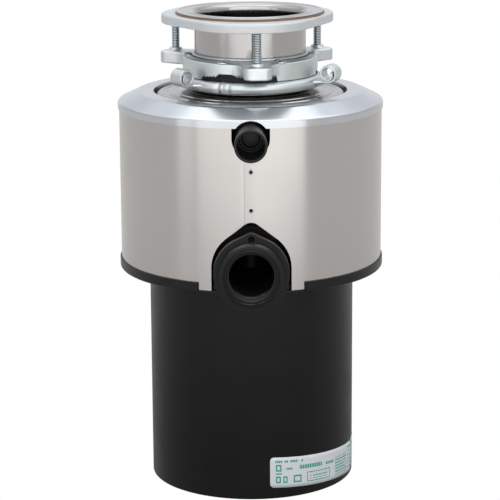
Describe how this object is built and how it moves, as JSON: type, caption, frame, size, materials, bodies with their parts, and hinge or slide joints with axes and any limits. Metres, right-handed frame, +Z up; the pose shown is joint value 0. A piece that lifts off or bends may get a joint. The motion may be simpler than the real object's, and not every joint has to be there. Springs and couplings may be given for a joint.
{
  "type": "kitchen garbage disposal",
  "caption": "Cylindrical under-sink garbage disposal with a black motor can, brushed steel trim shell, side discharge port, dishwasher inlet and a turning lock-ring sink mount.",
  "frame": {"origin": "centre of the motor can's foot, on the motor shaft's axis", "axes": "+Z up along the motor shaft's axis towards the sink; -Y the way the discharge port and the dishwasher inlet face; +X to the right seen from the port side"},
  "size_m": [0.2064, 0.2352, 0.3697],
  "materials": {
    "black_enamel": "satin black enamel",
    "cast_aluminium": "as cast",
    "bronze": "sintered bronze",
    "zinc_steel": "zinc plated",
    "green_screw": "green screw",
    "black_plastic": "moulded black plastic",
    "red_plastic": "gloss red",
    "spring_steel": "bright spring steel",
    "lamination_steel": "stacked laminations",
    "copper": "varnished copper wire",
    "ground_steel": "ground",
    "cream_plastic": "moulded nylon",
    "label_film": "satin white film",
    "black_casting": "black coated casting",
    "black_rubber": "moulded rubber",
    "stainless": "spun stainless",
    "brushed_stainless": "fine vertical satin",
    "foam": "bead foam",
    "silver_plastic": "satin silver",
    "zinc_plate": "zinc plated pressed steel",
    "blue_zinc": "blue zinc",
    "grey_plate": "satin grey plate",
    "fibre": "brown vulcanised fibre",
    "polished_stainless": "polished stainless"
  },
  "bodies": {
    "housing": {"motor_can": "black_enamel", "lower_end_frame": "cast_aluminium", "lower_bearing": "bronze", "terminal_cover": "zinc_steel", "cover_screws": "zinc_steel", "ground_screw": "green_screw", "overload_protector": "black_plastic", "reset_spring": "spring_steel", "through_bolts": "zinc_steel", "stator_core": "lamination_steel", "stator_windings": "copper", "start_switch": "black_plastic", "rating_label": "label_film", "drain_chamber": "black_casting", "outlet_gasket": "black_rubber", "upper_bearing": "bronze", "shaft_seal": "black_rubber", "container_gasket": "black_rubber", "container_screws": "zinc_steel", "shredder_ring": "stainless", "grind_container": "stainless", "dishwasher_inlet": "black_plastic", "inlet_plug": "black_plastic", "base_ring": "black_plastic", "shell_wrap": "brushed_stainless", "shell_rivets": "zinc_steel", "insulation_foam": "foam", "cap_ring": "silver_plastic", "mounting_gasket": "black_rubber", "splash_baffle": "black_rubber", "upper_mounting_ring": "zinc_plate", "snap_ring": "spring_steel", "backup_flange": "grey_plate", "fibre_gasket": "fibre", "sink_flange": "polished_stainless"},
    "lock_ring": {"lower_mounting_ring": "zinc_plate"},
    "screw_front": {"mounting_screw_front": "blue_zinc"},
    "screw_right": {"mounting_screw_right": "blue_zinc"},
    "screw_left": {"mounting_screw_left": "blue_zinc"},
    "rotor": {"motor_shaft": "ground_steel", "rotor_core": "lamination_steel", "rotor_end_rings": "cast_aluminium", "actuator_spring": "spring_steel", "turntable": "stainless", "lug_pins": "ground_steel", "turntable_nut": "zinc_steel"},
    "lug_a": {"swivel_lug_a": "stainless"},
    "lug_b": {"swivel_lug_b": "stainless"},
    "actuator": {"centrifugal_actuator": "cream_plastic"},
    "lever": {"switch_lever": "bronze"},
    "button": {"reset_button": "red_plastic"}
  },
  "joints": [
    {"name": "lock_ring_turn", "type": "hinge", "parent": "housing", "child": "lock_ring", "pos_m": [0, 0, 0.3163], "axis": [0, 0, 1], "range_deg": [-45, 0]},
    {"name": "screw_front_travel", "type": "slide", "parent": "housing", "child": "screw_front", "axis": [0, 0, 1], "range_m": [-0.012, 0]},
    {"name": "screw_right_travel", "type": "slide", "parent": "housing", "child": "screw_right", "axis": [0, 0, 1], "range_m": [-0.012, 0]},
    {"name": "screw_left_travel", "type": "slide", "parent": "housing", "child": "screw_left", "axis": [0, 0, 1], "range_m": [-0.012, 0]},
    {"name": "rotor_spin", "type": "hinge", "parent": "housing", "child": "rotor", "pos_m": [0, 0, 0.12], "axis": [0, 0, 1], "continuous": true},
    {"name": "lug_a_swing", "type": "hinge", "parent": "rotor", "child": "lug_a", "pos_m": [0, -0.0372, 0.228], "axis": [0, 0, 1], "continuous": true},
    {"name": "lug_b_swing", "type": "hinge", "parent": "rotor", "child": "lug_b", "pos_m": [0, 0.0372, 0.228], "axis": [0, 0, 1], "continuous": true},
    {"name": "actuator_lift", "type": "slide", "parent": "rotor", "child": "actuator", "axis": [0, 0, 1], "range_m": [0, 0.0025], "stiffness_N_per_m": 400, "springref_m": -0.002, "deforming": ["actuator_spring"]},
    {"name": "lever_turn", "type": "hinge", "parent": "housing", "child": "lever", "pos_m": [0, 0.04, 0.0323], "axis": [1, 0, 0], "range_deg": [-7.3, 0]},
    {"name": "reset_press", "type": "slide", "parent": "housing", "child": "button", "axis": [0, 0, 1], "range_m": [0, 0.0025], "stiffness_N_per_m": 600, "springref_m": -0.002, "deforming": ["reset_spring"]}
  ],
  "couplings": [
    {"joint": "lever_turn", "follows": "actuator_lift", "rad_per_m": -50.1}
  ]
}
